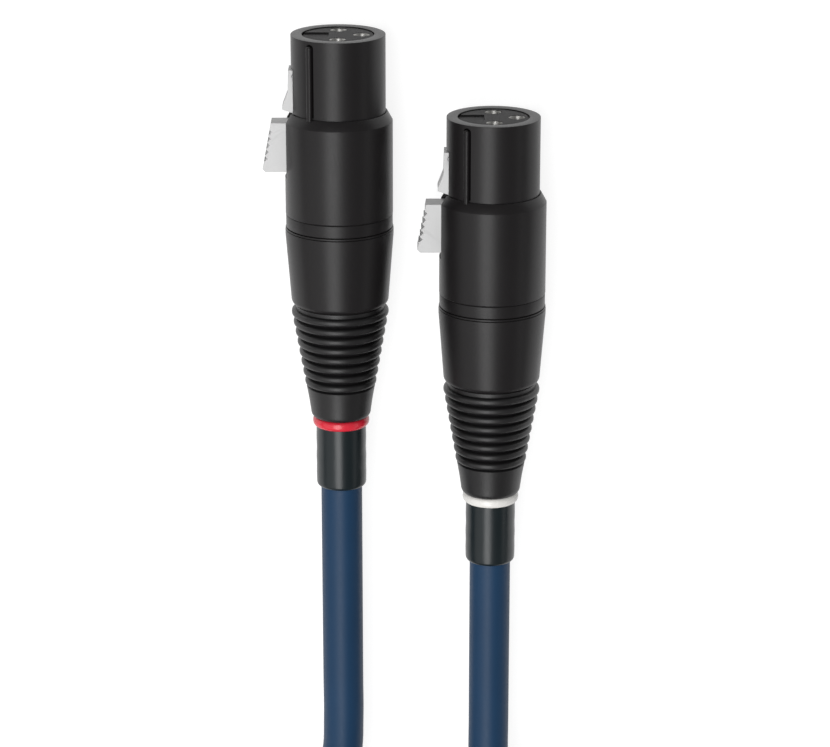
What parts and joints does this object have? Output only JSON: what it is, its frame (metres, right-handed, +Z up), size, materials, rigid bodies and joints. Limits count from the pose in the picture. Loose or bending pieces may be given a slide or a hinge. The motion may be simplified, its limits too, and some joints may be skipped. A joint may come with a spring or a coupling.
{
  "type": "balanced audio cable pair",
  "caption": "Pair of balanced three-pole audio leads with latching socket connectors, ribbed boots, coloured coding rings and a tied hank ending in pin connectors.",
  "frame": {"origin": "centre of the base of the two socket connectors' box, on the surface that they lie on", "axes": "+Y out of the socket connectors' noses, +Z up, the push pads on the -X side"},
  "size_m": [0.0631, 0.3686, 0.0337],
  "materials": {
    "moulded_black": "satin moulded glass-filled nylon",
    "insert_black": "matt moulded insert",
    "contact_silver": "silver-plated brass",
    "latch_grey": "matt die-cast or moulded light grey",
    "pin_steel": "spring steel",
    "cable_blue": "satin PVC jacket",
    "chuck_white": "moulded acetal",
    "collar_black": "satin moulded",
    "boot_rubber": "matt elastomer",
    "shrink_black": "satin shrink sleeve",
    "ring_red": "glossy moulded",
    "ring_white": "glossy moulded",
    "tie_black": "woven hook-and-loop strap"
  },
  "bodies": {
    "cable_pair": {"red_sleeve": "moulded_black", "red_insert": "insert_black", "red_contacts": "contact_silver", "red_shell": "moulded_black", "red_latch_pin": "pin_steel", "red_core": "cable_blue", "red_chuck": "chuck_white", "red_collar": "collar_black", "red_boot": "boot_rubber", "red_ring": "ring_red", "red_shrink": "shrink_black", "white_sleeve": "moulded_black", "white_insert": "insert_black", "white_contacts": "contact_silver", "white_shell": "moulded_black", "white_latch_pin": "pin_steel", "white_core": "cable_blue", "white_chuck": "chuck_white", "white_collar": "collar_black", "white_boot": "boot_rubber", "white_ring": "ring_white", "white_shrink": "shrink_black", "red_pin_shell": "moulded_black", "red_pin_insert": "insert_black", "red_pins": "contact_silver", "red_pin_core": "cable_blue", "red_pin_chuck": "chuck_white", "red_pin_collar": "collar_black", "red_pin_boot": "boot_rubber", "red_pin_ring": "ring_red", "red_pin_shrink": "shrink_black", "white_pin_shell": "moulded_black", "white_pin_insert": "insert_black", "white_pins": "contact_silver", "white_pin_core": "cable_blue", "white_pin_chuck": "chuck_white", "white_pin_collar": "collar_black", "white_pin_boot": "boot_rubber", "white_pin_ring": "ring_white", "white_pin_shrink": "shrink_black", "red_lead": "cable_blue", "red_hank": "cable_blue", "red_tail": "cable_blue", "white_lead": "cable_blue", "white_hank": "cable_blue", "white_tail": "cable_blue", "hank_tie": "tie_black"},
    "red_lever": {"red_latch": "latch_grey", "red_spring": "pin_steel"},
    "white_lever": {"white_latch": "latch_grey", "white_spring": "pin_steel"}
  },
  "joints": [
    {"name": "red_latch_press", "type": "hinge", "parent": "cable_pair", "child": "red_lever", "pos_m": [-0.01875, 0.04096, 0.0094], "axis": [0, 0, 1], "range_deg": [0, 13], "stiffness_Nm_per_rad": 0.05, "springref_deg": -8.59},
    {"name": "white_latch_press", "type": "hinge", "parent": "cable_pair", "child": "white_lever", "pos_m": [0.00785, 0.02656, 0.0094], "axis": [0, 0, 1], "range_deg": [0, 13], "stiffness_Nm_per_rad": 0.05, "springref_deg": -8.59}
  ]
}
